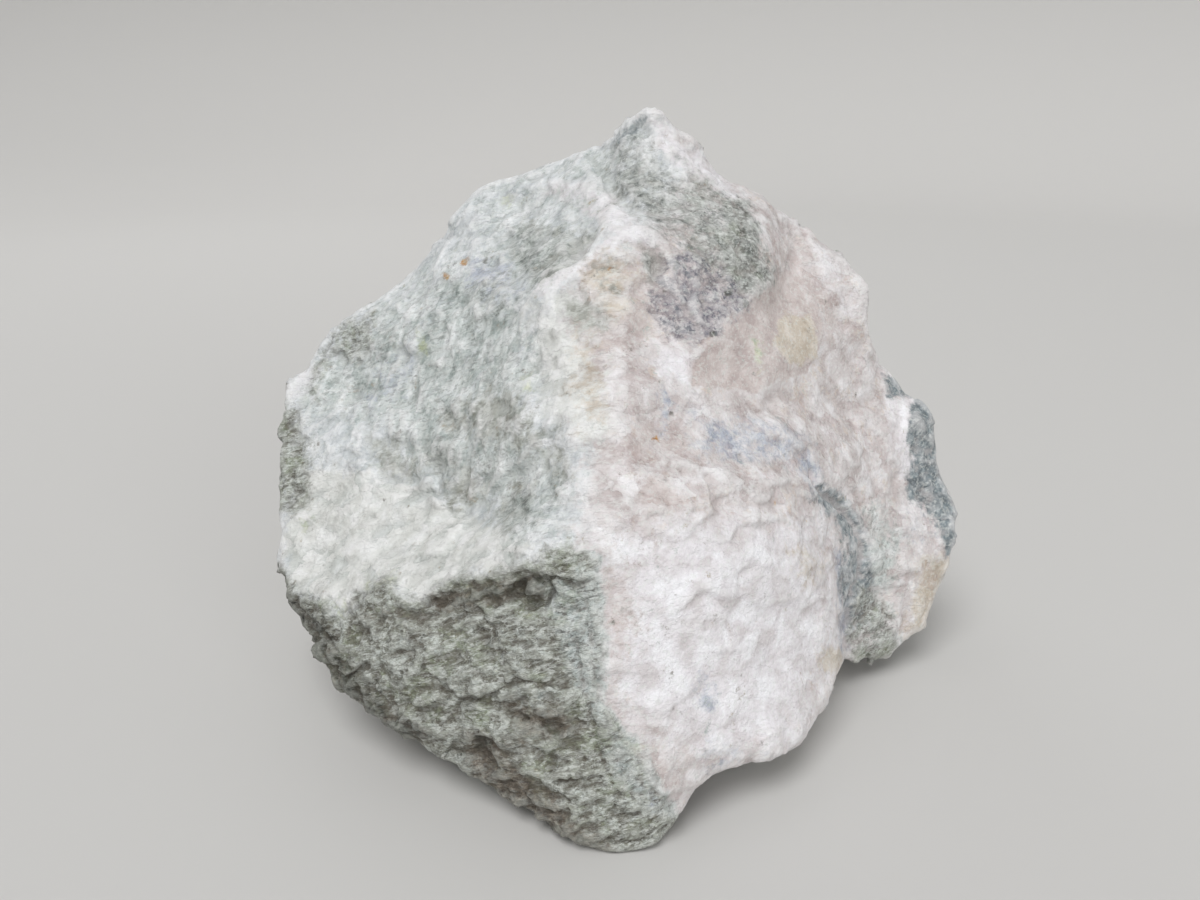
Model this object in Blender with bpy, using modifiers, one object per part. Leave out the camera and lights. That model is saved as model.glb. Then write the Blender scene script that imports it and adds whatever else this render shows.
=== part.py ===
"""A raw jade boulder: one natural stone about 180 mm wide and 138 mm high, broken on all sides.

The stone is laid out by its corners, in whole millimetres: x across, y from front to back, z up from the
surface that it rests on. One closed outline, the widest loop of the stone as it is met from the front,
parts it into two sheets. Each sheet is triangulated between its corners, and keeps the creases that are
listed as edges. The closed cage is then voxel remeshed, broken up by chips, ledges and pits, thinned to a
light solid, and cut flat underneath, where the stone rests.
"""
import bpy
import bmesh
from mathutils import Vector, geometry, kdtree, noise

MM = 0.001

# ---- driving dimensions, in millimetres ----------------------------------------------------------------
VOXEL = 1.6                 # cell of the remesh that closes the two sheets into one skin
SMOOTH_STEPS = 3            # passes that round the straight creases of the cage
SWELL = 0.7                 # makes up for what the rounding takes off
SIGHT = (-4.5, -221, 141)   # the point ahead of the stone from which each sheet is met once
BASE_LEVEL = -1             # level of the cage's underside, just below the cut
TRIANGLES = 8800            # of the finished solid, before the flat cut
NOISE_OFFSET = (31.0, 7.0, 53.0)

# Outline, clockwise from the peak as met from the front.
OUTLINE = [
    (7, 15, 139), (16, 18, 135), (20, 19, 129), (26, 21, 121), (32, 22, 119), (43, 23, 112),
    (57, 21, 102), (63, 17, 97), (63, 16, 89), (64, 16, 82), (68, 18, 75), (75, 19, 68),
    (81, 19, 65), (83, 17, 61), (84, 15, 54), (85, 13, 48), (88, 10, 41), (91, 7, 36), (89, 4, 31),
    (83, -2, 19), (79, -6, 12), (72, -9, 7), (69, -10, 4), (63, -13, 4), (57, -18, 9), (50, -33, 16),
    (47, -39, 15), (40, -50, 10), (33, -56, 7), (26, -59, 11), (17, -63, 11), (14, -65, 8),
    (10, -70, 4), (7, -73, 1), (-2, -74, -1), (-10, -72, 1), (-16, -68, 4), (-25, -62, 6),
    (-33, -58, 9), (-41, -54, 12), (-48, -50, 13), (-62, -42, 16), (-69, -33, 23), (-77, -25, 31),
    (-82, -15, 36), (-83, -7, 44), (-85, -2, 50), (-87, 7, 61), (-85, 14, 72), (-79, 18, 76),
    (-77, 20, 80), (-72, 22, 85), (-61, 25, 92), (-53, 27, 97), (-46, 29, 105), (-44, 30, 110),
    (-39, 31, 116), (-35, 32, 119), (-27, 32, 121), (-17, 32, 124), (-8, 28, 128), (-2, 23, 130),
    (0, 20, 134),
]

# Creases of the front: ridges, rims and valleys that the triangulation keeps as edges.
FRONT_CREASES = {
    "front_ridge": [(-17, -11, 102), (-13, -22, 94), (-10, -33, 85), (-10, -42, 78), (-9, -49, 71),
                    (-7, -55, 65), (-5, -60, 59), (-4, -62, 51), (-3, -65, 42), (-2, -68, 33),
                    (2, -70, 23), (6, -72, 12)],
    "shelf_rim": [(-77, -25, 31), (-69, -32, 34), (-61, -38, 32), (-56, -41, 38), (-47, -46, 44),
                  (-37, -50, 47), (-29, -54, 51), (-22, -56, 55), (-14, -58, 58), (-5, -60, 59)],
    "shelf_valley": [(-80, 5, 59), (-68, -4, 59), (-59, -11, 56), (-51, -16, 55), (-41, -23, 55),
                     (-31, -31, 57), (-19, -40, 66), (-9, -49, 71)],
    "top_block_edge": [(-25, -7, 96), (-17, -11, 102), (-10, -11, 106), (-3, -11, 111), (4, -9, 114),
                       (9, -9, 110), (7, -15, 102), (15, -20, 92)],
    "spur_edge": [(7, 15, 139), (8, 13, 132), (17, 12, 126), (29, 11, 117), (33, 8, 114), (36, 2, 104),
                  (33, -4, 100), (26, -13, 94), (17, -21, 89), (15, -26, 83)],
    "spur_foot": [(43, 20, 108), (42, 14, 102), (39, 4, 95), (31, -10, 90), (23, -18, 84), (17, -26, 81)],
    "green_vein": [(44, -21, 59), (53, -13, 49), (60, -10, 38), (60, -13, 26), (57, -16, 16), (57, -18, 9)],
}

# Corners of the front's facets.
FRONT_FACETS = {
    "left_slope": [(-70, 14, 74), (-69, 8, 66), (-55, 12, 86), (-54, 4, 75), (-41, 5, 90), (-44, 16, 98),
                   (-27, -8, 91), (-37, 15, 102), (-25, 1, 100), (-35, 24, 110), (-27, 25, 113),
                   (-17, 21, 119), (-24, 13, 108)],
    "hollow": [(-56, -4, 66), (-44, -14, 66), (-31, -26, 70), (-19, -36, 76), (-38, -7, 78), (-23, -23, 82)],
    "shelf": [(-71, -8, 50), (-71, -19, 39), (-60, -23, 45), (-48, -34, 46), (-36, -42, 51), (-25, -49, 57),
              (-15, -52, 63)],
    "top": [(-9, 0, 109), (-14, 10, 112), (-7, 12, 120), (-5, 19, 124), (-4, -2, 114), (3, 14, 129),
            (2, 8, 121), (5, 4, 118), (10, 0, 115)],
    "spur": [(16, 6, 119), (23, 0, 113), (30, 1, 109), (21, -6, 107), (15, -12, 103), (24, -10, 100)],
    "shoulder": [(49, 17, 104), (56, 16, 96), (48, 8, 92), (57, 12, 86), (59, 10, 74), (43, -2, 86),
                 (34, -13, 83), (47, -4, 73), (28, -20, 77), (21, -30, 73)],
    "brow": [(1, -15, 106), (0, -24, 97), (5, -21, 94), (-1, -31, 89), (7, -27, 87), (-1, -42, 80),
             (7, -35, 77), (3, -49, 70), (14, -35, 74), (16, -43, 68)],
    "right_front": [(-2, -56, 65), (6, -53, 62), (15, -50, 60), (27, -35, 65), (26, -44, 57), (38, -21, 69),
                    (37, -32, 56), (6, -58, 53), (15, -56, 50), (28, -47, 47), (40, -36, 46), (46, -33, 35)],
    "low_right": [(3, -62, 45), (13, -59, 38), (24, -53, 37), (36, -44, 31), (48, -34, 24), (4, -66, 32),
                  (14, -62, 27), (26, -56, 22), (38, -48, 19), (8, -68, 22), (19, -62, 17), (30, -57, 15),
                  (5, -72, 4), (-1, -72, 12)],
    "lobe": [(61, 8, 66), (71, 15, 67), (78, 11, 63), (63, 2, 58), (73, 8, 57), (66, -1, 48), (78, 8, 47),
             (83, 7, 40), (67, -5, 39), (81, 0, 31), (71, -7, 29), (66, -11, 19), (77, -6, 21),
             (71, -11, 12), (63, -14, 13)],
    "rind_face": [(-63, -40, 26), (-55, -45, 29), (-46, -50, 36), (-35, -54, 39), (-24, -58, 43),
                  (-14, -60, 49), (-51, -48, 21), (-40, -54, 25), (-29, -58, 31), (-18, -62, 35),
                  (-9, -64, 41), (-33, -58, 17), (-23, -63, 20), (-12, -66, 27), (-4, -70, 21),
                  (-10, -70, 13), (-4, -72, 7)],
}

# Creases and corners of the back and of the flanks that turn under.
BACK_CREASES = {
    "back_brow": [(-73, 38, 76), (-58, 50, 88), (-38, 60, 98), (-4, 64, 108), (20, 58, 108), (38, 52, 100),
                  (58, 42, 84)],
    "left_spine": [(-38, 60, 98), (-35, 68, 74), (-41, 70, 46), (-36, 63, 14)],
    "right_spine": [(38, 52, 100), (35, 64, 78), (42, 69, 44), (38, 60, 12)],
    "back_step": [(-35, 68, 74), (-14, 74, 66), (12, 77, 60), (26, 72, 66), (35, 64, 78)],
}
BACK_FACETS = {
    "crown": [(9, 27, 132), (24, 31, 121), (42, 34, 110), (55, 32, 99), (62, 31, 86), (-10, 46, 120),
              (-28, 48, 114), (-44, 46, 104), (-60, 38, 90), (6, 46, 121), (27, 47, 113)],
    "back_left": [(-79, 32, 62), (-83, 26, 48), (-60, 55, 68), (-64, 57, 48), (-80, 38, 36), (-62, 54, 24),
                  (-76, 30, 20)],
    "back_middle": [(-16, 68, 90), (10, 66, 90), (-14, 78, 50), (12, 80, 44), (-18, 75, 28), (16, 75, 24),
                    (0, 65, 8)],
    "back_right": [(54, 52, 80), (69, 34, 70), (58, 60, 60), (78, 34, 54), (64, 58, 36), (84, 32, 38),
                   (80, 34, 20), (62, 48, 14)],
    "flank": [(-85, 10, 40), (-79, -2, 27), (-70, -17, 15), (-80, 18, 22), (-66, 2, 6), (-62, -14, 6),
              (-58, 40, 8), (89, 20, 36), (86, 12, 22), (76, 4, 6), (78, 22, 9)],
    "underside": [(7, -61, BASE_LEVEL), (23, -40, BASE_LEVEL), (45, -17, BASE_LEVEL), (64, -7, BASE_LEVEL),
                  (66, 19, BASE_LEVEL), (46, 42, BASE_LEVEL), (6, 54, BASE_LEVEL), (-34, 50, BASE_LEVEL),
                  (-58, 25, BASE_LEVEL), (-61, 1, BASE_LEVEL), (-47, -23, BASE_LEVEL), (-25, -45, BASE_LEVEL),
                  (-20, 0, BASE_LEVEL), (20, 20, BASE_LEVEL)],
}

# How each group of corners breaks: height in mm of its chips, ledges and pits.
BREAKS = {
    "rind_face": (1.3, 0.5, 1.2),
    "left_slope": (1.1, 0.2, 0.5),
    "hollow": (0.9, 0.2, 0.4),
    "shelf": (0.9, 0.3, 0.3),
    "top": (1.0, 0.2, 0.2),
    "spur": (1.0, 0.1, 0.7),
    "shoulder": (0.6, 0.1, 0.1),
    "brow": (0.8, 0.5, 0.2),
    "right_front": (0.6, 0.9, 0.2),
    "low_right": (0.6, 1.1, 0.2),
    "lobe": (1.0, 0.2, 0.5),
    "crown": (1.5, 0.3, 0.5),
    "back_left": (2.2, 0.6, 1.0),
    "back_middle": (1.8, 1.2, 0.8),
    "back_right": (2.0, 0.5, 0.9),
    "flank": (1.6, 0.4, 0.9),
    "underside": (0.6, 0.0, 0.0),
}
EDGE_BREAK = (0.7, 0.3, 0.3)    # on the outline and the creases
CHIP_SIZES = (17, 8)            # of the broken facets, coarse and fine
LEDGE_STEP = 9                  # between the ledges, across the stone's grain
LEDGE_WAVES = (24, 7)           # over which a ledge line wavers, coarse and fine
LEDGE_STRETCH = 14              # over which ledges come and go
GRAIN = Vector((0.18, 0.30, 0.94)).normalized()
PIT_SIZE = 10
PIT_SWAY = 5                    # over which the outline of a pit wanders
SWELLS = 30                     # of the slow swells of the whole surface
FOOT = 5                        # height over which the surface breaks in, above the resting face
NEAREST_CORNERS = 5             # corners that a point of the skin takes its break from

# Single pits (+) and knobs (-): place, radius and depth.
HOLLOWS = [
    ((-19, -58, 50), 4, 3.0),
    ((-27, -60, 14), 5, 2.5),
    ((-15, -66, 18), 4, 2.0),
    ((34, -16, 75), 4, 1.5),
    ((10, -18, 103), 5, 1.5),
    ((-39, -19, 60), 6, 2.0),
    ((-42, -28, 57), 6, -2.5),
    ((-38, 20, 92), 8, 1.0),
]


def clear_scene():
    """Remove whatever the scene holds."""
    for leftover in list(bpy.data.objects):
        bpy.data.objects.remove(leftover, do_unlink=True)


def seen(corner):
    """Direction of a corner from the sight point, as a flat point."""
    ahead = Vector(corner) - Vector(SIGHT)
    return Vector((ahead.x / ahead.y, ahead.z / ahead.y))


def sheet(creases, facets):
    """Triangulate one sheet between its corners; returns triangles of corners."""
    corners = list(OUTLINE)
    for group in list(creases.values()) + list(facets.values()):
        corners += [corner for corner in group if corner not in corners]
    place = {corner: number for number, corner in enumerate(corners)}
    rim = list(range(len(OUTLINE)))
    edges = list(zip(rim, rim[1:] + rim[:1]))
    for line in creases.values():
        edges += [(place[a], place[b]) for a, b in zip(line, line[1:])]
    inside_only = 1
    flat, _, triangles, origins, _, _ = geometry.delaunay_2d_cdt(
        [seen(corner) for corner in corners], edges, [], inside_only, 1e-6)
    if len(flat) != len(corners):
        raise ValueError("two creases cross, or a corner lies outside the outline")
    return [[corners[origins[v][0]] for v in triangle] for triangle in triangles]


def build_cage(collection):
    """Join the front and back sheets along the outline into one closed cage."""
    cage = bmesh.new()
    made = {}
    for creases, facets in ((FRONT_CREASES, FRONT_FACETS), (BACK_CREASES, BACK_FACETS)):
        for triangle in sheet(creases, facets):
            for corner in triangle:
                if corner not in made:
                    made[corner] = cage.verts.new(Vector(corner) * MM)
            cage.faces.new([made[corner] for corner in triangle])
    bmesh.ops.recalc_face_normals(cage, faces=cage.faces)
    mesh = bpy.data.meshes.new("boulder")
    cage.to_mesh(mesh)
    cage.free()
    stone = bpy.data.objects.new("boulder", mesh)
    collection.objects.link(stone)
    return stone


def apply_modifiers(stone):
    """Turn what the modifiers make into the stone's own mesh."""
    depsgraph = bpy.context.evaluated_depsgraph_get()
    mesh = bpy.data.meshes.new_from_object(stone.evaluated_get(depsgraph))
    stone.modifiers.clear()
    stone.data = mesh


def remesh(stone):
    """Give the cage an even skin with softened creases."""
    skin = stone.modifiers.new("skin", "REMESH")
    skin.mode = "VOXEL"
    skin.voxel_size = VOXEL * MM
    soften = stone.modifiers.new("soften", "SMOOTH")
    soften.factor = 0.5
    soften.iterations = SMOOTH_STEPS
    apply_modifiers(stone)


def smoothstep(low, high, value):
    """0 below low, 1 above high, and an even rise between them."""
    t = min(max((value - low) / (high - low), 0), 1)
    return t * t * (3 - 2 * t)


def chips(point, size):
    """Broken facets: each cell of the stone is a small plane with its own tilt, from about -1 to 1."""
    spot = point / size
    centre = noise.voronoi(spot)[1][0]
    tilt = noise.cell_vector(centre * 19.7) * 2 - Vector((1, 1, 1))
    return (spot - centre).dot(tilt)


def ledges(point):
    """Ledges across the grain: a slow rise and a sharp drop, from 0 to 1."""
    coarse, fine = LEDGE_WAVES
    waver = 0.7 * noise.noise(point / coarse) + 0.25 * noise.noise(point / fine)
    rise = (point.dot(GRAIN) / LEDGE_STEP + waver) % 1
    broken = smoothstep(-0.25, 0.3, noise.noise(point / LEDGE_STRETCH + Vector((9, 0, 4))))
    return broken * (rise - smoothstep(0.8, 1, rise))


def pits(point):
    """Scattered pits, 1 at the bottom of a pit and 0 elsewhere."""
    sway = point / PIT_SWAY
    shift = Vector((noise.noise(sway), noise.noise(sway.yzx), noise.noise(sway.zxy)))
    warped = point / PIT_SIZE + 0.4 * shift
    distances, centres = noise.voronoi(warped)
    chosen = smoothstep(0.45, 0.6, noise.cell(centres[0] * 13.1) * 0.5 + 0.5)
    return chosen * (1 - smoothstep(0.1, 0.5, distances[0]))


def corner_breaks():
    """A search tree over all corners, and the break of each."""
    rows = [(corner, EDGE_BREAK) for corner in OUTLINE]
    for creases in (FRONT_CREASES, BACK_CREASES):
        rows += [(corner, EDGE_BREAK) for line in creases.values() for corner in line]
    for facets in (FRONT_FACETS, BACK_FACETS):
        rows += [(corner, BREAKS[name]) for name, group in facets.items() for corner in group]
    tree = kdtree.KDTree(len(rows))
    for number, (corner, _) in enumerate(rows):
        tree.insert(corner, number)
    tree.balance()
    return tree, [break_ for _, break_ in rows]


def relief(point, tree, breaks):
    """Height in mm that the broken surface stands out at a point of the skin."""
    near = tree.find_n(point, NEAREST_CORNERS)
    weights = [1 / (distance + 2) for _, _, distance in near]
    chip, ledge, pit = (
        sum(w * breaks[number][k] for w, (_, number, _) in zip(weights, near)) / sum(weights) for k in range(3))
    spot = point + Vector(NOISE_OFFSET)
    coarse, fine = CHIP_SIZES
    height = chip * (chips(spot, coarse) + 0.5 * chips(spot, fine) + 0.5 * noise.noise(spot / SWELLS))
    height += ledge * (ledges(spot) - 0.25)
    height -= pit * pits(spot)
    for place, radius, depth in HOLLOWS:
        height -= depth * (1 - smoothstep(0.2, 1, (point - Vector(place)).length / radius))
    return (SWELL + height) * smoothstep(0, FOOT, point.z)


def break_surface(stone):
    """Move the skin along its normals by the relief."""
    tree, breaks = corner_breaks()
    mesh = stone.data
    heights = [relief(v.co / MM, tree, breaks) for v in mesh.vertices]
    for vertex, normal, height in zip(mesh.vertices, [n.vector.copy() for n in mesh.vertex_normals], heights):
        vertex.co += normal * height * MM


def thin(stone):
    """Collapse the skin to a light solid of triangles."""
    stone.modifiers.new("triangles", "TRIANGULATE")
    faces = 2 * len(stone.data.polygons)
    collapse = stone.modifiers.new("thin", "DECIMATE")
    collapse.ratio = TRIANGLES / faces
    apply_modifiers(stone)


def cut_flat(stone):
    """Cut the underside flat at z = 0, the face that the stone rests on."""
    solid = bmesh.new()
    solid.from_mesh(stone.data)
    everything = solid.verts[:] + solid.edges[:] + solid.faces[:]
    cut = bmesh.ops.bisect_plane(solid, geom=everything, dist=1e-7, plane_co=(0, 0, 0), plane_no=(0, 0, -1),
                                 clear_outer=True)
    rim = [item for item in cut["geom_cut"] if isinstance(item, bmesh.types.BMEdge)]
    bmesh.ops.contextual_create(solid, geom=rim)
    bmesh.ops.triangulate(solid, faces=[face for face in solid.faces if len(face.verts) > 3])
    bmesh.ops.recalc_face_normals(solid, faces=solid.faces)
    solid.to_mesh(stone.data)
    solid.free()


def centre(stone):
    """Put the origin at the middle of the box, on the resting face."""
    mesh = stone.data
    xs = [v.co.x for v in mesh.vertices]
    ys = [v.co.y for v in mesh.vertices]
    middle = Vector(((min(xs) + max(xs)) / 2, (min(ys) + max(ys)) / 2, 0))
    for vertex in mesh.vertices:
        vertex.co -= middle


def jade():
    """Pale, faintly glossy stone."""
    material = bpy.data.materials.new("jade")
    material.use_nodes = True
    surface = material.node_tree.nodes["Principled BSDF"]
    surface.inputs["Base Color"].default_value = (0.62, 0.63, 0.58, 1)
    surface.inputs["Roughness"].default_value = 0.55
    surface.inputs["Metallic"].default_value = 0
    return material


def main():
    clear_scene()
    collection = bpy.data.collections.new("jade_boulder")
    bpy.context.scene.collection.children.link(collection)
    stone = build_cage(collection)
    remesh(stone)
    break_surface(stone)
    thin(stone)
    cut_flat(stone)
    centre(stone)
    stone.data.materials.clear()
    stone.data.materials.append(jade())
    return stone


main()
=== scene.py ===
"""The looks of a raw jade boulder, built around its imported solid.

The stone is one piece. Its fine surface is grown from the CAD solid: an even skin, the ledges, cracks and
pits of each zone, and one procedural material that mixes the stone's minerals. The zones of the side that
the photograph shows are drawn as outlines in the photograph's pixels and cast onto the stone from the
camera; the hidden sides follow rules of their own.
"""

import math

import bmesh
import bpy
import numpy as np
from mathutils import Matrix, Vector, noise


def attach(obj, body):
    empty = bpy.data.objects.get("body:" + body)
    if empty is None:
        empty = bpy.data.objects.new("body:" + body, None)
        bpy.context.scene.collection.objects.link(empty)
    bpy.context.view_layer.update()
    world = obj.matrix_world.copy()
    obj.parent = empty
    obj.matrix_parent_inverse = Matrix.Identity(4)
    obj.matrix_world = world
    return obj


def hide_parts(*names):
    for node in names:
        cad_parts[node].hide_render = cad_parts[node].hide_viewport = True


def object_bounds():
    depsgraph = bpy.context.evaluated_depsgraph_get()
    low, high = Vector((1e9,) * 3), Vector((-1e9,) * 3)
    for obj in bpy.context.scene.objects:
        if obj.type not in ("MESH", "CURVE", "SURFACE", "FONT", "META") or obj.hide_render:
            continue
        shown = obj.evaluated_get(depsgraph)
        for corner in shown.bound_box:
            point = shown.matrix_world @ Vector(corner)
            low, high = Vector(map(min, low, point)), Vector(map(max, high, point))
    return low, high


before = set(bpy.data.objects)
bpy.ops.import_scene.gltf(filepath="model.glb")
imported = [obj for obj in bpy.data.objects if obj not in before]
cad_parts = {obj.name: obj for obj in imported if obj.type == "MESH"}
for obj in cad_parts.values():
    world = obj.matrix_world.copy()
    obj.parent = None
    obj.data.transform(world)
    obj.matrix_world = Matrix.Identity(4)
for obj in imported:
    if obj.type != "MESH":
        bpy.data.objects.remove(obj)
cad_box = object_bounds()

MM = 0.001

# ---- the camera, in the photograph's 1200 x 900 pixels ----
IMAGE_CENTRE = (600, 450)
FOCAL_PIXELS = 950
SENSOR_WIDTH = 36
IMAGE_WIDTH = 1200
CAMERA_AT = Vector((-6.35, -225.17, 141.0)) * MM
CAMERA_DIP = math.radians(20.5)

# ---- the studio ----
# Lamps: name, kind, the way from the stone to the lamp in metres, spread, strength. A sun's spread is in
# degrees, an area's in metres.
LAMPS = [
    ("overhead", "SUN", (-0.20, -0.42, 0.89), 35, 1.66),
    ("front", "AREA", (0.60, -1.00, 0.42), 0.6, 1.6),
    ("back", "AREA", (-0.55, 0.95, 0.75), 1.0, 1.0),
]
# How wide the area lamps' light fans out, in degrees.
LAMP_FAN = 120
SURROUND_STRENGTH = 0.35
FLOOR_COLOUR = (206, 205, 203)
# The floor's size in metres, and in how many steps its rim turns up.
FLOOR_RADIUS, FLOOR_SWEEP, WALL_HEIGHT = 1.6, 0.5, 1.0
SWEEP_STEPS = 10

# ---- the skin, in millimetres ----
SKIN_VOXEL = 0.65
SKIN_SMOOTHING = 7
SKIN_TRIANGLES = 194000
# How far the front is kept from being thinned out, from 0 to 1.
FRONT_KEPT = 0.9
BOX_MARGIN = 0.05
# The relief dies out towards the floor between these heights.
FOOT_FADE = (0.2, 4.0)
# Crevices: over how many rounds of averaging they are found, and how deep faint and full ones are.
HOLLOW_ROUNDS = 9
HOLLOW_DEPTHS = (0.01, 0.28)

# ---- directions in the stone, towards the right, the back and up ----
ALONG_RIND = (0.90, -0.25, 0.28)
ALONG_FIBRES = (0.90, -0.25, 0.40)
ALONG_WHITE = (0.95, 0.05, -0.12)
DOWN_SLOPE = (-0.35, -0.50, -0.78)
DOWN_RIGHT = (0.72, -0.20, -0.66)

# ---- the grown relief ----
# Roughness of each zone, in mm: large, middle and small facets, ledges, fibres, grain.
ROUGHNESS = {
    "rind": (1.0, 0.50, 0.22, 0.90, 0.35, 0.10),
    "patch": (0.6, 0.45, 0.22, 0.20, 0.25, 0.08),
    "slope": (0.8, 0.46, 0.20, 0.00, 0.08, 0.04),
    "powder": (0.6, 0.34, 0.20, 0.10, 0.00, 0.05),
    "flaky": (0.6, 0.42, 0.16, 0.10, 0.00, 0.00),
    "sugar": (0.5, 0.25, 0.10, 0.03, 0.00, 0.00),
    "smooth": (0.2, 0.03, 0.00, 0.00, 0.00, 0.00),
}
# Large, middle and small facets in mm: how long, wide and deep; in the rind they are flatter.
FACETS = ((15, 12, 8), (8.5, 7.0, 4.6), (4.2, 3.4, 2.4))
RIND_THINNESS = 0.7
# How high the layers are that break off in ledges, in mm.
RIND_LEDGES, WHITE_LEDGES = 6.5, 4.8
# The way the right side's facets lean, like shingles.
SHINGLED = Vector((0.25, 0.2, -0.75))
# Where the stone lies in the noise of the relief, in mm.
NOISE_START = Vector((131.0, 107.0, 153.0))
# How much stronger the large and middle facets are on the hidden sides, up to which height, and over how
# many mm this fades out below it.
HIDDEN_RELIEF = (1.4, 0.6)
TIP_LEVEL, TIP_FADE = 132, 25

# ---- where each kind of relief lies, as outlines in pixels ----
POWDER_OUTLINE = [(270, 470), (330, 440), (400, 480), (470, 505), (560, 480), (600, 560), (560, 640),
                  (250, 640)]
FLAKY_OUTLINE = [(600, 470), (690, 450), (780, 470), (845, 560), (838, 640), (760, 640), (680, 620),
                 (600, 560)]
SMOOTH_OUTLINE = [(690, 390), (705, 356), (722, 334), (746, 310), (774, 280), (800, 266), (820, 300),
                  (842, 345), (852, 374), (820, 396), (770, 402), (720, 402)]
SUGAR_OUTLINE = [(545, 290), (640, 235), (700, 330), (770, 290), (760, 215), (870, 280), (965, 520),
                 (900, 670), (830, 690), (700, 800), (660, 830), (610, 700), (600, 560), (572, 480),
                 (556, 360)]
# The low right, where the solid's ledges are smoothed away: by which share, in how many rounds of
# averaging, and how much weaker the grown relief is.
CALM_OUTLINE = [(625, 540), (700, 520), (790, 545), (826, 590), (826, 650), (790, 720), (720, 740),
                (660, 760), (622, 700), (612, 620)]
CALM_SHARE = 0.8
CALM_ROUNDS = 60
CALM_RELIEF = 0.4

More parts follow.
